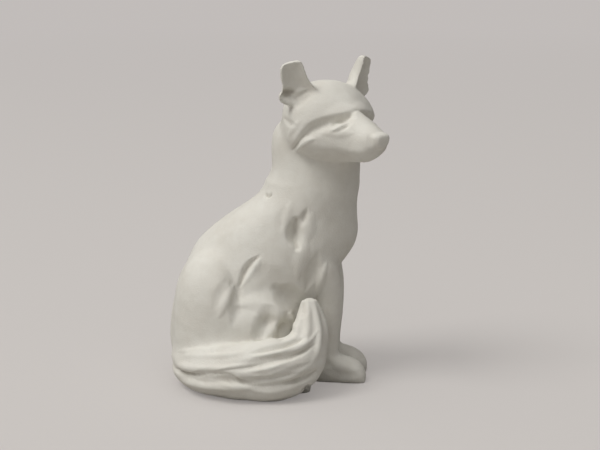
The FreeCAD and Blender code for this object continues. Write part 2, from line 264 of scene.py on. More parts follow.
# Tail locks: long tapered strands of clay laid over the tail, a Geometry Nodes tree.
# The tail's centre line, root to tip: X, Y, Z and its half breadth and half height.
TAIL_LINE = (
    (-9.0, 18.4, 5.2, 4.6, 4.8),
    (-15.0, 15.4, 5.6, 5.2, 5.7),
    (-19.2, 8.6, 6.2, 5.4, 6.6),
    (-19.3, 1.6, 6.7, 5.5, 7.0),
    (-18.0, -4.2, 7.8, 5.2, 7.0),
    (-15.8, -7.9, 10.3, 4.5, 5.8),
    (-13.9, -9.2, 14.0, 3.4, 4.4),
    (-12.4, -9.1, 18.2, 2.1, 2.7),
    (-11.7, -8.8, 20.9, 0.9, 1.1),
)
# The number of locks, how far they turn about the line, how thick they are and how far out
# they lie as shares of the tail's half size, and how many steps each has.
TAIL_LOCKS = 8
TAIL_TWIST = math.radians(40)
TAIL_LOCK_SHARE = 0.27
TAIL_LOCK_DEPTH_SHARE = 0.78
TAIL_SEED = 7
TAIL_STEPS = 72
# How far a lock strays from its lane, between which shares its thickness varies, how full
# it stays towards its ends, and how many sides it has.
TAIL_LOCK_STRAY = 0.35
TAIL_LOCK_THICKNESS = (0.75, 1.2)
TAIL_LOCK_FULLNESS = 0.7
TAIL_LOCK_SIDES = 10


def tail_line_object():
    """The tail's centre line as a mesh of edges that carries its half sizes as vectors."""
    places = [Vector(row[:3]) for row in TAIL_LINE]
    mesh = bpy.data.meshes.new("tail_line")
    mesh.from_pydata(places, [(i, i + 1) for i in range(len(places) - 1)], [])
    outward = mesh.attributes.new("outward", "FLOAT_VECTOR", "POINT")
    over = mesh.attributes.new("over", "FLOAT_VECTOR", "POINT")
    for i, (_, _, _, half_breadth, half_height) in enumerate(TAIL_LINE):
        before, after = places[max(i - 1, 0)], places[min(i + 1, len(places) - 1)]
        along = (after - before).normalized()
        aside = Vector((places[i].x, places[i].y, 0))
        side = (aside - along * aside.dot(along)).normalized()
        outward.data[i].vector = side * half_breadth
        over.data[i].vector = side.cross(along).normalized() * half_height
    line = bpy.data.objects.new("tail_line", mesh)
    bpy.context.scene.collection.objects.link(line)
    return line


class Tree:
    """A Geometry Nodes tree with named inputs."""

    def __init__(self, name, inputs):
        self.tree = bpy.data.node_groups.new(name, "GeometryNodeTree")
        face = self.tree.interface
        face.new_socket("Geometry", in_out="OUTPUT", socket_type="NodeSocketGeometry")
        face.new_socket("Geometry", in_out="INPUT", socket_type="NodeSocketGeometry")
        for label, kind in inputs:
            face.new_socket(label, in_out="INPUT", socket_type=kind)
        self.given = self.tree.nodes.new("NodeGroupInput")

    def add(self, kind, settings=(), **inputs):
        """A node with its settings, then the values or links of its inputs."""
        node = self.tree.nodes.new(kind)
        for name, value in dict(settings).items():
            setattr(node, name, value)
        for name, value in inputs.items():
            socket = socket_of(node, name)
            if isinstance(value, bpy.types.NodeSocket):
                self.tree.links.new(value, socket)
            else:
                socket.default_value = value
        return node

    def sum(self, operation, first, second):
        """Arithmetic on two fields."""
        return self.add("ShaderNodeMath", {"operation": operation}, in0=first, in1=second).outputs[0]

    def scaled(self, vector, factor):
        """A vector field times a number field."""
        node = self.add("ShaderNodeVectorMath", {"operation": "SCALE"}, Vector=vector, Scale=factor)
        return node.outputs[0]

    def finish(self, geometry, material):
        """Ends the tree in real geometry with the material on it."""
        real = self.add("GeometryNodeRealizeInstances", Geometry=geometry)
        made = self.add("GeometryNodeSetMaterial", Geometry=real.outputs[0], Material=material)
        output = self.tree.nodes.new("NodeGroupOutput")
        self.tree.links.new(made.outputs[0], output.inputs[0])
        return self.tree


def lock_tree(material):
    """Locks that start round the tail's line, turn about it and taper at both ends."""
    tree = Tree(
        "tail_locks",
        (
            ("Locks", "NodeSocketInt"),
            ("Twist", "NodeSocketFloat"),
            ("Thickness", "NodeSocketFloat"),
            ("Depth", "NodeSocketFloat"),
            ("Steps", "NodeSocketInt"),
            ("Seed", "NodeSocketInt"),
        ),
    )
    given = tree.given.outputs
    line = tree.add("GeometryNodeMeshToCurve", Mesh=given["Geometry"])
    smooth = tree.add(
        "GeometryNodeCurveSplineType", {"spline_type": "CATMULL_ROM"}, Curve=line.outputs[0]
    )
    steps = tree.add("GeometryNodeResampleCurve", Curve=smooth.outputs[0], Count=given["Steps"])
    copies = tree.add(
        "GeometryNodeDuplicateElements",
        {"domain": "SPLINE"},
        Geometry=steps.outputs[0],
        Amount=given["Locks"],
    )
    number = copies.outputs["Duplicate Index"]
    random = {"ID": number, "Seed": given["Seed"]}
    stray, thick = (
        tree.add("FunctionNodeRandomValue", {"data_type": "FLOAT"}, in2=low, in3=high, **random)
        for low, high in ((-TAIL_LOCK_STRAY, TAIL_LOCK_STRAY), TAIL_LOCK_THICKNESS)
    )
    factor = tree.add("GeometryNodeSplineParameter").outputs["Factor"]
    lane = tree.sum("DIVIDE", tree.sum("ADD", number, stray.outputs[1]), given["Locks"])
    twist = tree.sum("MULTIPLY", factor, given["Twist"])
    turn = tree.sum("ADD", tree.sum("MULTIPLY", lane, math.tau), twist)
    outward = tree.add("GeometryNodeInputNamedAttribute", {"data_type": "FLOAT_VECTOR"}, Name="outward")
    over = tree.add("GeometryNodeInputNamedAttribute", {"data_type": "FLOAT_VECTOR"}, Name="over")
    cosine = tree.sum("MULTIPLY", tree.sum("COSINE", turn, 0.0), given["Depth"])
    sine = tree.sum("MULTIPLY", tree.sum("SINE", turn, 0.0), given["Depth"])
    offset = tree.add(
        "ShaderNodeVectorMath",
        {"operation": "ADD"},
        in0=tree.scaled(outward.outputs[0], cosine),
        in1=tree.scaled(over.outputs[0], sine),
    )
    moved = tree.add("GeometryNodeSetPosition", Geometry=copies.outputs[0], Offset=offset.outputs[0])
    half = tree.add("ShaderNodeVectorMath", {"operation": "LENGTH"}, in0=over.outputs[0])
    swell = tree.sum("SINE", tree.sum("MULTIPLY", factor, math.pi), 0.0)
    taper = tree.sum("POWER", swell, TAIL_LOCK_FULLNESS)
    radius = tree.sum("MULTIPLY", half.outputs["Value"], tree.sum("MULTIPLY", given["Thickness"], taper))
    radius = tree.sum("MULTIPLY", radius, thick.outputs[1])
    sized = tree.add("GeometryNodeSetCurveRadius", Curve=moved.outputs[0], Radius=radius)
    ring = tree.add("GeometryNodeCurvePrimitiveCircle", Resolution=TAIL_LOCK_SIDES, Radius=1.0)
    solid = tree.add(
        "GeometryNodeCurveToMesh",
        Curve=sized.outputs[0],
        Profile_Curve=ring.outputs[0],
        Fill_Caps=True,
    )
    return tree.finish(solid.outputs[0], material)


def plain_mesh(source, name):
    """What the object's modifiers make of it, as a plain mesh."""
    view = bpy.context.evaluated_depsgraph_get()
    mesh = bpy.data.meshes.new_from_object(source.evaluated_get(view))
    mesh.name = name
    return mesh


def tail_locks(material):
    """The tail's locks as a plain mesh."""
    line = tail_line_object()
    modifier = line.modifiers.new("tail_locks", "NODES")
    modifier.node_group = lock_tree(material)
    values = {
        "Locks": TAIL_LOCKS,
        "Twist": TAIL_TWIST,
        "Thickness": TAIL_LOCK_SHARE,
        "Depth": TAIL_LOCK_DEPTH_SHARE,
        "Steps": TAIL_STEPS,
        "Seed": TAIL_SEED,
    }
    for item in modifier.node_group.interface.items_tree:
        if item.name in values:
            modifier[item.identifier] = values[item.name]
    mesh = plain_mesh(line, "tail_locks")
    line.modifiers.clear()
    bpy.data.objects.remove(line)
    return mesh


# Skin

# How far apart the skin's points are.
FINE_VOXEL, QUICK_VOXEL = 0.27, 0.45
VOXEL = FINE_VOXEL
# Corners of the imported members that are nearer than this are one.
WELD = 0.001
# The tail is drawn in by this much, and its locks fill it out again.
TAIL_SLIM = 0.12


def member_bm(node, slim=0.0):
    """A member's solid in millimetres, welded, and drawn in by slim."""
    made = bmesh.new()
    made.from_mesh(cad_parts[node].data)
    bmesh.ops.scale(made, vec=Vector((1, 1, 1)) / MM, verts=made.verts)
    bmesh.ops.remove_doubles(made, verts=made.verts, dist=WELD)
    if slim:
        made.normal_update()
        for vert in made.verts:
            vert.co -= vert.normal * slim
    return made


# Ears: a cupped leaf with a blunt top, an upright outer edge and a hollowed inner edge.
HEAD_CENTRE = Vector((0, -9.7, 62.0))
HEAD_TURN = Matrix.Rotation(math.radians(-47), 3, "Z")
EARS = {"left_ear": 1, "right_ear": -1}
EAR_ROOT = Vector((7.9, -4.75, 3.25))
EAR_TURN = Matrix.Rotation(math.radians(13), 3, "Y") @ Matrix.Rotation(math.radians(28), 3, "Z")
EAR_HEIGHT, EAR_HALF_WIDTH = 9.7, 3.8
EAR_CUP, EAR_RIM, EAR_BODY = 1.5, 1.35, 1.1
# Shares of the height, then of the half width to the outer and to the inner edge, of the
# cup's depth, and of the height by which the section leans forwards.
EAR_SHARES = (
    (0.00, 0.80, 1.50, 0.30, 0.00),
    (0.07, 1.14, 1.34, 0.70, 0.00),
    (0.16, 1.34, 1.14, 1.10, 0.00),
    (0.27, 1.36, 0.92, 1.25, 0.00),
    (0.34, 1.26, 0.78, 1.15, 0.00),
    (0.39, 1.04, 0.69, 1.00, 0.00),
    (0.50, 1.00, 0.57, 1.00, 0.00),
    (0.64, 1.02, 0.49, 0.95, 0.01),
    (0.78, 1.00, 0.44, 0.80, 0.03),
    (0.90, 0.95, 0.42, 0.55, 0.05),
    (0.97, 0.84, 0.34, 0.25, 0.07),
    (1.00, 0.62, 0.16, 0.05, 0.08),
)
EAR_LANES = 11
# The middle of the ear's back thins out by this share up to the top.
EAR_THINNING = 0.6


def ear_leaf(side):
    """One ear's solid; side is 1 for the left ear and -1 for the right one."""
    made = bmesh.new()
    rings = []
    for up, outer, inner, cup, lean in EAR_SHARES:
        front, back = [], []
        for lane in range(EAR_LANES):
            across = 2 * lane / (EAR_LANES - 1) - 1
            x = EAR_HALF_WIDTH * ((outer + inner) / 2 * across + (outer - inner) / 2)
            middle = 1 - across**2
            y = EAR_CUP * cup * (middle - 0.5) - EAR_HEIGHT * lean
            z = EAR_HEIGHT * up
            front.append((x, y, z))
            back.append((x, y + EAR_RIM + EAR_BODY * middle * (1 - up * EAR_THINNING), z))
        ring = []
        for place in front + back[::-1]:
            own = EAR_TURN @ Vector(place) + EAR_ROOT
            own.x *= side
            ring.append(made.verts.new(HEAD_TURN @ own + HEAD_CENTRE))
        rings.append(ring)
    for low, high in zip(rings, rings[1:]):
        for i in range(len(low)):
            j = (i + 1) % len(low)
            made.faces.new((low[i], low[j], high[j], high[i]))
    made.faces.new(rings[0])
    made.faces.new(rings[-1])
    bmesh.ops.recalc_face_normals(made, faces=made.faces)
    return made


def luted_skin(locks):
    """All the members and the tail's locks as one closed skin of even quads."""
    whole = bmesh.new()
    for node in sorted(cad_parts):
        if node in EARS:
            member = ear_leaf(EARS[node])
        else:
            member = member_bm(node, TAIL_SLIM if node == "tail" else 0.0)
        mesh = bpy.data.meshes.new(node)
        member.to_mesh(mesh)
        member.free()
        whole.from_mesh(mesh)
        bpy.data.meshes.remove(mesh)
    whole.from_mesh(locks)
    mesh = bpy.data.meshes.new("skin")
    whole.to_mesh(mesh)
    whole.free()
    skin = bpy.data.objects.new("skin", mesh)
    bpy.context.scene.collection.objects.link(skin)
    remesh = skin.modifiers.new("skin", "REMESH")
    remesh.mode = "VOXEL"
    remesh.voxel_size = VOXEL
    made = plain_mesh(skin, "skin")
    bpy.data.objects.remove(skin)
    return made


def neighbours(quads):
    """The pairs of quads that share an edge."""
    ends = np.stack([quads, np.roll(quads, -1, axis=1)], axis=2).reshape(-1, 2)
    ends.sort(axis=1)
    keys = ends[:, 0] * (quads.max() + 1) + ends[:, 1]
    order = np.argsort(keys, kind="stable")
    same = np.flatnonzero(keys[order][1:] == keys[order][:-1])
    return order[same] // 4, order[same + 1] // 4


def patches(quads, owner):
    """A label for each quad, the same all over a connected patch of one owner."""
    first, second = neighbours(quads)
    alike = owner[first] == owner[second]
    first, second = first[alike], second[alike]
    labels = np.arange(len(quads))
    while True:
        lowest = np.minimum(labels[first], labels[second])
        new = labels.copy()
        np.minimum.at(new, first, lowest)
        np.minimum.at(new, second, lowest)
        np.minimum.at(new, labels[first], lowest)
        np.minimum.at(new, labels[second], lowest)
        new = new[new]
        if (new == labels).all():
            return labels
        labels = new


# While a joint is filled, the skin's normals are worked out afresh after this many rounds.
NORMAL_ROUNDS = 8


class Clay:
    """The skin as arrays: points in millimetres, quads, and the edges between the points."""

    def __init__(self, mesh):
        points = np.empty(len(mesh.vertices) * 3)
        mesh.vertices.foreach_get("co", points)
        quads = np.empty(len(mesh.loops), int)
        mesh.loops.foreach_get("vertex_index", quads)
        quads = quads.reshape(-1, 4)
        labels = patches(quads, np.zeros(len(quads), int))
        outside = quads[labels == np.bincount(labels).argmax()]
        used, renumbered = np.unique(outside, return_inverse=True)
        self.points = points.reshape(-1, 3)[used]
        self.quads = renumbered.reshape(-1, 4)
        self.count = len(self.points)
        ends = np.stack([self.quads, np.roll(self.quads, -1, axis=1)], axis=2).reshape(-1, 2)
        ends.sort(axis=1)
        self.edges = np.unique(ends, axis=0)
        self.degree = np.bincount(self.edges.ravel(), minlength=self.count)
        self.start = self.points.copy()

    def mean(self, values):
        """Each point's values replaced by the mean of its neighbours' values."""
        near, far = self.edges.T
        flat = values.reshape(self.count, -1)
        total = np.stack(
            [
                np.bincount(near, column[far], self.count) + np.bincount(far, column[near], self.count)
                for column in flat.T
            ],
            axis=1,
        )
        return (total / self.degree[:, None]).reshape(values.shape)

    def spread(self, values, rounds):
        """Values evened out over the skin."""
        for _ in range(rounds):
            values = (values + self.mean(values)) / 2
        return values

    def normals(self):
        """Outward unit normals at the points."""
        corners = self.points[self.quads]
        faces = np.cross(corners[:, 2] - corners[:, 0], corners[:, 3] - corners[:, 1])
        flat = self.quads.ravel()
        total = np.stack(
            [np.bincount(flat, np.repeat(column, 4), self.count) for column in faces.T], axis=1
        )
        return total / np.maximum(np.linalg.norm(total, axis=1, keepdims=True), TINY)

    def smooth(self, weight, rounds):
        """Evens the skin out where weight is high."""
        for _ in range(rounds):
            self.points += (self.mean(self.points) - self.points) * (weight / 2)[:, None]

    def fill(self, weight, rounds):
        """Adds clay in the creases where weight is high, as a thumb does along a luted joint."""
        for step in range(rounds):
            if step % NORMAL_ROUNDS == 0:
                normals = self.normals()
            pull = ((self.mean(self.points) - self.points) * normals).sum(1)
            self.points += normals * (weight * np.clip(pull, 0, None))[:, None]

    def tree(self):
        """The skin as it stands, for finding places on it."""
        return BVHTree.FromPolygons(self.points.tolist(), self.quads.tolist())


def ease(values, low, high):
    """0 below low, 1 above high, smooth between."""
    share = np.clip((values - low) / (high - low), 0, 1)
    return share * share * (3 - 2 * share)


def member_distances(clay, reach):
    """For each member, how far each point of the skin is from it, up to reach."""
    found = {}
    for node in sorted(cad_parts):
        member = member_bm(node)
        tree = BVHTree.FromBMesh(member)
        member.free()
        low, high = (np.array(corner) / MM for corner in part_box(node))
        inside = ((clay.points > low - reach) & (clay.points < high + reach)).all(1)
        distances = np.full(clay.count, reach)
        for i in np.flatnonzero(inside):
            hit = tree.find_nearest(clay.points[i], reach)
            if hit[3] is not None:
                distances[i] = hit[3]
        found[node] = distances
    return found


# No joint reaches further than this.
JOINT_REACH = 5.0
# How far the clay is drawn over each joint, and how often it is gone over.
JOINTS = (
    (("torso", "left_haunch"), 4.6, 70),
    (("torso", "right_haunch"), 4.6, 70),
    (("torso", "neck"), 5.0, 90),
    (("torso", "left_foreleg"), 4.2, 110),
    (("torso", "right_foreleg"), 4.2, 110),
    (("neck", "head"), 3.4, 60),
    (("head", "left_ear"), 1.5, 14),
    (("head", "right_ear"), 1.5, 14),
    (("left_foreleg", "left_forepaw"), 3.2, 44),
    (("right_foreleg", "right_forepaw"), 3.2, 44),
    (("left_haunch", "left_hind_foot"), 1.6, 12),
    (("right_haunch", "right_hind_foot"), 1.6, 12),
    (("torso", "tail"), 2.4, 24),
    (("right_haunch", "tail"), 0.9, 5),
)
# The share of the reach over which a joint is filled in full.
JOINT_FULL_SHARE = 0.35
# How often the whole skin is evened out, then the ears, the seam along the tail and the tail,
# and how far from them.
EVERYWHERE_ROUNDS = 2
EAR_EVEN_REACH, EAR_EVEN_ROUNDS = (1.5, 3.0), 7
SEAM_EVEN_REACH, SEAM_EVEN_ROUNDS = (0.9, 2.0), 8
TAIL_EVEN_REACH, TAIL_EVEN_ROUNDS = (0.8, 2.0), 3
# The rounds are counted for a skin with points this far apart.
ROUNDS_VOXEL = 0.3


def passes(rounds):
    """How often a finer or coarser skin has to be gone over for the same effect."""
    return round(rounds * (ROUNDS_VOXEL / VOXEL) ** 2)


def lute(clay, distances):
    """Draws the clay over the joints, so that the members grow out of one another."""
    for (first, second), reach, rounds in JOINTS:
        apart = np.maximum(distances[first], distances[second])
        clay.fill(1 - ease(apart, reach * JOINT_FULL_SHARE, reach), passes(rounds))
    clay.smooth(np.ones(clay.count), EVERYWHERE_ROUNDS)
    ears = np.minimum(*(distances[node] for node in EARS))
    clay.smooth(1 - ease(ears, *EAR_EVEN_REACH), passes(EAR_EVEN_ROUNDS))
    seam = np.maximum(distances["right_haunch"], distances["tail"])
    clay.smooth(1 - ease(seam, *SEAM_EVEN_REACH), passes(SEAM_EVEN_ROUNDS))
    clay.smooth(1 - ease(distances["tail"], *TAIL_EVEN_REACH), passes(TAIL_EVEN_ROUNDS))


# Strokes


def mirrored_body(place):
    """The same place on the other side of the body."""
    return Vector((-place.x, place.y, place.z))


def mirrored_head(place):
    """The same place on the other side of the turned head."""
    own = HEAD_TURN.inverted() @ (place - HEAD_CENTRE)
    own.x = -own.x
    return HEAD_TURN @ own + HEAD_CENTRE


def smooth_line(places, step):
    """Points at even steps on a smooth line through the places."""
    if len(places) == 1:
        return [places[0]]
    ends = [places[0] * 2 - places[1], *places, places[-1] * 2 - places[-2]]
    line = []
    for a, b, c, d in zip(ends, ends[1:], ends[2:], ends[3:]):
        count = max(2, round((c - b).length / step))
        for i in range(count):
            t = i / count
            line.append(
                (
                    b * 2
                    + (c - a) * t
                    + (a * 2 - b * 5 + c * 4 - d) * t**2
                    + (b * 3 - a - c * 3 + d) * t**3
                )
                / 2
            )
    return [*line, places[-1]]


# How much a stroke tapers unless something else is said.
STROKE_TAPER = 0.8
# Places on a line over the photograph are this many pixels apart.
LINE_STEP_PX = 2.0
# A stroke of this many half widths or longer tapers in full, with this power towards its ends.
TAPER_HALF_WIDTHS, TAPER_POWER = 4, 1.8
# A stroke fades out where the skin turns away from its middle, between these cosines.
TURNED_AWAY = (-0.35, 0.15)
# The direction of each point is the mean over the skin around it.
STROKE_NORMAL_ROUNDS = 3


class Modelling:
    """Strokes and dabs on a skin. They are all placed on it as it was before the first one."""

    def __init__(self, clay):
        self.clay = clay
        self.tree = clay.tree()
        self.base = clay.points.copy()
        self.normals = clay.spread(clay.normals(), STROKE_NORMAL_ROUNDS)
        self.normals /= np.linalg.norm(self.normals, axis=1, keepdims=True)
        self.raised = np.zeros(clay.count)

    def seen(self, places_px):
        """Where a line that is drawn over the photograph lies on the skin."""
        line = []
        for pixel in smooth_line([Vector((*p, 0)) for p in places_px], LINE_STEP_PX):
            hit = self.tree.ray_cast(camera.place, camera.ray(pixel.x, pixel.y))
            if hit[0] is not None:
                line.append(hit[0])
        if not line:
            raise ValueError(f"the line {places_px} misses the fox")
        return line

    def across(self, line, mirrored):
        """The line on the other side of the body or of the head."""
        return [self.tree.find_nearest(mirrored(place))[0] for place in line]

    def press(self, line, radius, height, lean=0.0, taper=STROKE_TAPER):
        """Raises or sinks the skin along a line that tapers at both ends; lean makes one bank
        steeper than the other."""
        places = np.array([list(place) for place in line])
        low, high = places.min(0) - radius, places.max(0) + radius
        near = np.flatnonzero(((self.base > low) & (self.base < high)).all(1))
        if not len(near):
            return
        points = self.base[near]
        nearest = np.full(len(near), np.inf)
        along = np.zeros(len(near))
        side = np.zeros(len(near))
        spans = max(len(places) - 1, 1)
        for i in range(spans):
            start, end = places[i], places[min(i + 1, len(places) - 1)]
            run = end - start
            long = max(float(run @ run), TINY)
            t = np.clip((points - start) @ run / long, 0, 1)
            away = points - (start + t[:, None] * run)
            far = np.linalg.norm(away, axis=1)
            closer = far < nearest
            nearest = np.where(closer, far, nearest)
            along = np.where(closer, (i + t) / spans, along)
            across = np.cross(run / math.sqrt(long), self.normals[near])
            side = np.where(closer, (away * across).sum(1), side)
        long = sum(np.linalg.norm(places[1:] - places[:-1], axis=1))
        pointed = taper * min(long / (TAPER_HALF_WIDTHS * radius), 1)
        fullness = 1 - pointed * np.abs(2 * along - 1) ** TAPER_POWER
        share = np.clip(1 - (nearest / (radius * fullness)) ** 2, 0, None) ** 2
        if lean:
            share *= np.clip(1 + lean * side / radius * 2, 0, 2)
        if len(places) > 1:
            share *= fullness
        start_normal = self.tree.find_nearest(Vector(places[len(places) // 2]))[1]
        facing = self.normals[near] @ np.array(start_normal)
        share *= ease(facing, *TURNED_AWAY)
        self.raised[near] += share * height

    def apply(self):
        """Moves the skin by all the strokes."""
        self.clay.points += self.normals * self.raised[:, None]


# Each stroke: its line, its half width, how far it raises the clay (or sinks it, where the
# number is negative), and its lean.
HEAD_STROKES_PX = (
    (
        ((356, 110), (346, 116.5), (335, 121.5), (323, 126), (311, 131.5), (301, 140), (292, 150)),
        2.1,
        -1.15,
        0.3,
    ),
    (((350, 116), (344, 121), (336, 126)), 2.4, -0.95, 0.0),
    (((324, 117), (335, 111), (346, 107.5), (356, 107)), 2.0, 0.15, 0.0),
    (((318, 133), (330, 131), (343, 133), (354, 133)), 1.8, 0.30, 0.0),
    (((315, 138.5), (305, 142), (296.5, 152)), 1.3, 0.50, 0.5),
    (((312, 155), (328, 156), (345, 158), (362, 155)), 3.2, -0.45, 0.0),
    (((333, 132.5), (341, 130), (348, 125.5)), 0.8, -0.22, 0.0),
    (((283, 117), (288, 122.5), (297, 126)), 1.2, -0.35, 0.0),
    (((300, 121), (293, 128), (288, 137)), 1.4, 0.30, 0.0),
    (((307, 98), (302, 101), (298, 105)), 1.6, -0.25, 0.0),
    (((370, 134), (369.5, 141), (372, 149)), 1.0, -0.35, 0.0),
)
HEAD_DABS_PX = ((((333, 129), (339.5, 126), (345.5, 122.5)), 1.35, 0.95), (((333, 139),), 4.5, 0.35))
# The dabs on the far side of the face are lower by this share.
FAR_DAB_SHARE = 0.5
NEAR_EAR_STROKES_PX = (
    (((280, 91), (286, 92.5), (293, 93)), 1.5, -0.9, 0.0),
    (((293, 95), (299, 91.5), (306, 89)), 1.1, 0.55, 0.0),
    (((286, 101), (292, 103)), 1.6, 0.40, 0.0),
)
BODY_STROKES_PX = (
    (((259, 256), (251, 264.5), (244.5, 274.5), (239.5, 286)), 1.4, -0.90, 0.4),
    (((240, 283), (239, 291), (238, 299)), 1.4, -0.30, 0.0),
    (((263, 258), (256, 264), (249, 274), (245, 284)), 1.6, 0.22, 0.0),
    (((234, 284), (228, 298), (218, 318)), 1.7, 0.42, 0.0),
    (((227, 279), (220, 294), (213, 310)), 1.9, -0.25, 0.0),
    (((240, 302), (237, 312), (233, 324)), 1.8, -0.28, 0.0),
    (((296, 221), (294.5, 234), (297, 247)), 2.4, -1.95, 0.0),
    (((307, 209), (303.5, 218), (301, 227)), 1.2, -0.60, 0.0),
    (((313, 213), (309.5, 227), (306, 243)), 2.0, 0.26, 0.0),
    (((285, 209), (281, 219), (279, 229)), 1.6, -0.22, 0.0),
    (((291, 203), (287, 213), (284, 224)), 1.6, 0.25, 0.0),
    (((307, 244), (301, 260), (298, 278)), 2.4, 0.30, 0.0),
    (((318, 252), (313, 269), (306, 290)), 2.1, -0.70, 0.0),
    (((327, 262), (321.5, 278), (315, 298)), 1.3, 0.50, 0.0),
    (((237, 305), (253, 302), (268, 303), (281, 309), (291, 318), (297, 330)), 3.6, 0.95, 0.3),
    (((264, 277), (276, 286), (288, 296)), 5.0, -0.70, 0.0),
    (((277, 290), (287, 298), (297, 306), (302, 313)), 4.2, -1.15, 0.0),
    (((268, 314), (266, 324), (260, 335)), 3.5, -1.05, 0.0),
    (((286, 318), (285, 328), (280, 338)), 3.2, -1.10, 0.0),
    (((277, 323), (271, 331), (265, 339)), 1.2, 0.40, 0.0),
    (((268, 322.5),), 2.6, -0.85, 0.0),
    (((284, 329),), 2.0, -0.60, 0.0),
)
TAIL_STROKES_PX = (
    (((303, 389.5), (309, 388)), 1.8, -1.0, 0.0),
    (((250, 353.5), (266, 349.5), (282, 346), (295, 342), (306, 337)), 1.3, -0.60, 0.4),
    (((218, 371.5), (246, 367), (267, 362), (290, 356), (304, 351), (314, 344)), 1.5, -0.75, 0.5),
    (((231, 375.5), (243, 382), (258, 387), (282, 385.5), (304, 379), (317, 369)), 1.6, -0.65, 0.0),
    (((189, 373.5), (210, 372), (232, 378), (247, 388)), 1.5, -0.25, 0.0),
    (((252, 357), (285, 350.5), (307, 343), (318, 330)), 1.2, 0.45, 0.0),
    (((248, 371), (270, 366), (290, 359.5)), 1.5, 0.45, 0.0),
    (((196, 378), (214, 380), (232, 387)), 1.4, 0.35, 0.0),
    (((268, 377), (290, 372), (310, 363)), 1.3, -0.35, 0.0),
    (((178, 351), (205, 350), (232, 346.5)), 1.4, 0.35, 0.0),
)
# A small chip on the back: its line, half width and depth.
CHIP_PX = ((265.8, 195), (268, 196.4), (270.2, 195))
CHIP_HALF_WIDTH, CHIP_HEIGHT = 0.65, -0.45
PAW_STROKES_PX = (
    (((331, 359), (342, 364), (356, 369)), 2.4, 0.45, 0.6),
    (((326, 371), (340, 374), (358, 376)), 2.0, -0.25, 0.0),
)


def model_face(work):
    """Eyes under their brows, the mask's crease and the tufts of the cheek, on both sides."""
    for line, radius, height, lean in HEAD_STROKES_PX:
        seen = work.seen(line)
        work.press(seen, radius, height, lean)
        work.press(work.across(seen, mirrored_head), radius, height, -lean)
    for line, radius, height in HEAD_DABS_PX:
        seen = work.seen(line)
        work.press(seen, radius, height)
        work.press(work.across(seen, mirrored_head), radius, height * FAR_DAB_SHARE)


def model_body(work):
    """Folds behind the elbow, at the shoulder and on the flank, on both sides."""
    for line, radius, height, lean in BODY_STROKES_PX + PAW_STROKES_PX:
        seen = work.seen(line)
        work.press(seen, radius, height, lean)
        work.press(work.across(seen, mirrored_body), radius, height, -lean)
    work.press(work.seen(CHIP_PX), CHIP_HALF_WIDTH, CHIP_HEIGHT, taper=0)


def model_near_side(work):
    """What only the side that the tail lies on has: its fur, and the crumpled near ear."""
    for line, radius, height, lean in TAIL_STROKES_PX + NEAR_EAR_STROKES_PX:
        work.press(work.seen(line), radius, height, lean)


# Unevenness that fingers leave: its size and height, in millimetres.
LUMPS = ((6.5, 0.16), (2.6, 0.07))
# How often the modelled skin is gone over at the end.
FINGER_ROUNDS = 1


def model_lumps(clay, normals):
    """Gentle unevenness all over."""
    for size, height in LUMPS:
        lift = np.array([noise.noise(Vector(p) / size) for p in clay.start]) * height
        clay.points += normals * lift[:, None]


# A crease is measured against the mean of this many rounds, evened out, and scaled to 0 to 1.
CREASE_ROUNDS, CREASE_EVEN_ROUNDS, CREASE_SCALE = 6, 2, 9


def crease_values(clay):
    """How hollow the skin is at each point, 0 to 1."""
    normals = clay.normals()
    hollow = ((clay.spread(clay.points, CREASE_ROUNDS) - clay.points) * normals).sum(1)
    return np.clip(clay.spread(hollow, CREASE_EVEN_ROUNDS) * CREASE_SCALE, 0, 1)


# Pieces

# The skin is flat underneath where it starts lower than this.
SOLE = 0.12
# Members are told apart up to this distance, evened out over the skin by these rounds.
OWNER_REACH, OWNER_ROUNDS = 2.0, 6


def stand(clay):
    """Keeps the underside flat on the surface."""
    clay.points[:, 2] = np.where(clay.start[:, 2] < SOLE, 0, np.maximum(clay.points[:, 2], 0))


def owners(clay, distances):
    """Which member each quad belongs to: one patch of the skin to each member."""
    names = sorted(distances)
    table = np.stack([distances[name] for name in names], axis=1)
    table = clay.spread(np.minimum(table, OWNER_REACH), OWNER_ROUNDS)
    nearest = table[clay.quads].mean(1).argmin(1)
    first, second = neighbours(clay.quads)
    labels = patches(clay.quads, nearest)
    sizes = np.bincount(labels, minlength=len(labels))
    largest = {sizes[np.unique(labels[nearest == number])].max() for number in range(len(names))}
    stray = ~np.isin(sizes[labels], list(largest))
    while stray.any():
        for one, other in ((first, second), (second, first)):
            moved = stray[one] & ~stray[other]
            nearest[one[moved]] = nearest[other[moved]]
            stray[one[moved]] = False
    return names, nearest


# How far the wall behind a member's open rim runs in.
RIM_DEPTH = 0.7


def close_inside(whole, normals):
    """Closes a member's open rims: a wall runs in from each and ends in a fan."""
    rim = [edge for edge in whole.edges if edge.is_boundary]
    count = len(whole.verts)
    bmesh.ops.extrude_edge_only(whole, edges=rim)
    whole.verts.ensure_lookup_table()
    whole.verts.index_update()
    inner = {}
    for vert in whole.verts[count:]:
        outer = next(e.other_vert(vert) for e in vert.link_edges if e.other_vert(vert).index < count)
        vert.co -= Vector(normals[outer.index]) * (RIM_DEPTH * MM)
        inner[vert] = vert
    links = [edge for edge in whole.edges if edge.is_boundary]
    groups = {vert: {vert} for vert in inner}
    for edge in links:
        one, other = (groups[vert] for vert in edge.verts)
        if one is not other:
            one |= other
            for vert in other:
                groups[vert] = one
    centres = {}
    for vert in inner:
        group = groups[vert]
        if id(group) not in centres:
            ordered = sorted(group, key=lambda v: v.index)
            middle = sum((v.co for v in ordered), Vector()) / len(ordered)
            centres[id(group)] = whole.verts.new(middle)
    for edge in links:
        whole.faces.new((*edge.verts, centres[id(groups[edge.verts[0]])]))
    bmesh.ops.recalc_face_normals(whole, faces=whole.faces)
    return len(whole.verts) - count


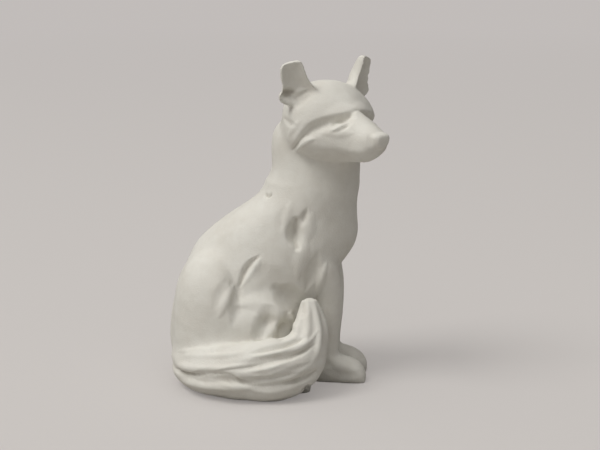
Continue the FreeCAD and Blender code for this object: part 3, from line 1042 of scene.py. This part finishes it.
def member_piece(clay, name, quads, normals, creases, material):
    """One member's part of the skin, closed on the inside, as a piece of the fox."""
    used, faces = np.unique(quads, return_inverse=True)
    mesh = bpy.data.meshes.new(f"clay_{name}")
    mesh.from_pydata((clay.points[used] * MM).tolist(), [], faces.reshape(-1, 4).tolist())
    whole = bmesh.new()
    whole.from_mesh(mesh)
    added = close_inside(whole, normals[used])
    whole.to_mesh(mesh)
    whole.free()
    # How hollow each point is: it darkens the creases with painted shade and roughens them.
    attribute = mesh.attributes.new(CREASE_NAME, "FLOAT", "POINT")
    hollow = np.concatenate([creases[used], np.zeros(added)])
    attribute.data.foreach_set("value", hollow.astype(np.float32))
    mesh.polygons.foreach_set("use_smooth", [True] * len(mesh.polygons))
    shading = np.concatenate([normals[used], np.zeros((added, 3))])
    mesh.normals_split_custom_set_from_vertices(shading.tolist())
    mesh.materials.append(material)
    piece = bpy.data.objects.new(f"clay_{name}", mesh)
    bpy.context.scene.collection.objects.link(piece)
    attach(piece, "root")
    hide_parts(name)
    return piece


def make_fox():
    """Luting, modelling and parting of the whole figurine."""
    material = clay_finish()
    clay = Clay(luted_skin(tail_locks(material)))
    distances = member_distances(clay, JOINT_REACH)
    lute(clay, distances)
    work = Modelling(clay)
    model_face(work)
    model_body(work)
    model_near_side(work)
    work.apply()
    model_lumps(clay, work.normals)
    clay.smooth(np.ones(clay.count), FINGER_ROUNDS)
    stand(clay)
    normals = clay.normals()
    creases = crease_values(clay)
    names, nearest = owners(clay, distances)
    for number, name in enumerate(names):
        quads = clay.quads[nearest == number]
        member_piece(clay, name, quads, normals, creases, material)


# Stage

PAPER_COLOUR = (0.70, 0.675, 0.655, 1)
PAPER_FIBRE_COLOUR = (0.69, 0.665, 0.645, 1)
# The paper's colour for the light that it throws back on the fox.
PAPER_BOUNCE_COLOUR = (0.48, 0.46, 0.44, 1)
BACKDROP_COLOUR = (0.535, 0.505, 0.49, 1)
PAPER_RADIUS = 4.0
PAPER_SIDES = 96
PAPER_FIBRE = {"Scale": 900.0, "Detail": 3.0}
PAPER_ROUGHNESS = 0.95
# The share of the even backdrop tone that the camera sees in the paper grows from the first
# of these shares to the second between these distances in metres.
PAPER_EVEN = {"From_Min": 0.12, "From_Max": 1.1, "To_Min": 0.42, "To_Max": 1.0}


def make_stage():
    """A wide sheet of pale paper under the fox."""
    whole = bmesh.new()
    bmesh.ops.create_circle(whole, cap_ends=True, segments=PAPER_SIDES, radius=PAPER_RADIUS)
    mesh = bpy.data.meshes.new("paper")
    whole.to_mesh(mesh)
    whole.free()
    paper = Finish("paper")
    place = paper.node("ShaderNodeTexCoord", OBJECT_COORDINATES)
    fibre = paper.node("ShaderNodeTexNoise", Vector=place, **PAPER_FIBRE)
    camera_ray = paper.node("ShaderNodeLightPath")
    fibres = paper.mix(fibre, PAPER_COLOUR, PAPER_FIBRE_COLOUR)
    tone = paper.mix(camera_ray, PAPER_BOUNCE_COLOUR, fibres)
    lit = paper.node("ShaderNodeBsdfPrincipled", Base_Color=tone, Roughness=PAPER_ROUGHNESS)
    even = paper.node("ShaderNodeEmission", Color=BACKDROP_COLOUR)
    distance = paper.node("ShaderNodeVectorMath", 1, {"operation": "LENGTH"}, Vector=place)
    share = paper.node("ShaderNodeMapRange", Value=distance, **PAPER_EVEN)
    seen = share * camera_ray
    shader = paper.node("ShaderNodeMixShader", in0=seen, in1=lit, in2=even)
    mesh.materials.append(paper.surface(shader))
    sheet = bpy.data.objects.new("paper", mesh)
    bpy.context.scene.collection.objects.link(sheet)


def direction(azimuth, elevation):
    """The unit vector towards a place round the fox, given as a camera's place would be."""
    turn, rise = math.radians(azimuth), math.radians(elevation)
    return Vector(
        (math.sin(turn) * math.cos(rise), -math.cos(turn) * math.cos(rise), math.sin(rise))
    )


# The height that the lamps are aimed at.
FOX_MIDDLE = 36.0


def area_light(name, azimuth, elevation, distance, size, power, colour):
    """A round soft lamp that is aimed at the fox."""
    towards = direction(azimuth, elevation)
    data = bpy.data.lights.new(name, "AREA")
    data.shape = "DISK"
    data.size = size
    data.energy = power
    data.color = colour
    lamp = bpy.data.objects.new(name, data)
    lamp.location = towards * distance + Vector((0, 0, FOX_MIDDLE * MM))
    lamp.rotation_euler = towards.to_track_quat("Z", "Y").to_euler()
    bpy.context.scene.collection.objects.link(lamp)


# Each lamp: azimuth and elevation in degrees, distance and size in metres, watts, colour.
LAMPS = (
    ("key", -146, 54, 2.5, 1.25, 28.5, (1.0, 0.985, 0.955)),
    ("fill", -100, 32, 2.5, 1.8, 3.8, (1.0, 0.985, 0.965)),
)
# The room's light: bright from above and behind the fox, dim in front of it.
ROOM_BRIGHT = (-128, 80)
ROOM_COLOUR = (1.0, 0.975, 0.95, 1)
ROOM_SHADE_COLOUR = (0.98, 0.95, 0.93, 1)
ROOM_STRENGTH, ROOM_SHADE_STRENGTH = 1.0, 0.03
# The cosine to the bright direction below which the room is all shade.
ROOM_SHADE_FROM = 0.4


def make_light():
    """A soft lamp behind the fox's back, a weak one beside it, and an uneven pale room."""
    for lamp in LAMPS:
        area_light(*lamp)
    world = bpy.data.worlds.new("room")
    world.use_nodes = True
    tree = world.node_tree
    tree.nodes.clear()
    place = tree.nodes.new("ShaderNodeTexCoord")
    towards = tree.nodes.new("ShaderNodeVectorMath")
    towards.operation = "DOT_PRODUCT"
    tree.links.new(place.outputs["Generated"], towards.inputs[0])
    towards.inputs[1].default_value = direction(*ROOM_BRIGHT)
    share = tree.nodes.new("ShaderNodeMapRange")
    tree.links.new(towards.outputs["Value"], share.inputs["Value"])
    share.inputs["From Min"].default_value = ROOM_SHADE_FROM
    backgrounds = []
    for colour, strength in (
        (ROOM_SHADE_COLOUR, ROOM_SHADE_STRENGTH),
        (ROOM_COLOUR, ROOM_STRENGTH),
        (BACKDROP_COLOUR, 1.0),
    ):
        background = tree.nodes.new("ShaderNodeBackground")
        background.inputs["Color"].default_value = colour
        background.inputs["Strength"].default_value = strength
        backgrounds.append(background)
    light = tree.nodes.new("ShaderNodeMixShader")
    tree.links.new(share.outputs[0], light.inputs[0])
    tree.links.new(backgrounds[0].outputs[0], light.inputs[1])
    tree.links.new(backgrounds[1].outputs[0], light.inputs[2])
    path = tree.nodes.new("ShaderNodeLightPath")
    seen = tree.nodes.new("ShaderNodeMixShader")
    tree.links.new(path.outputs["Is Camera Ray"], seen.inputs[0])
    tree.links.new(light.outputs[0], seen.inputs[1])
    tree.links.new(backgrounds[2].outputs[0], seen.inputs[2])
    output = tree.nodes.new("ShaderNodeOutputWorld")
    tree.links.new(seen.outputs[0], output.inputs["Surface"])
    bpy.context.scene.world = world


make_fox()
make_stage()
make_light()
bpy.context.scene.view_settings.view_transform = "Standard"
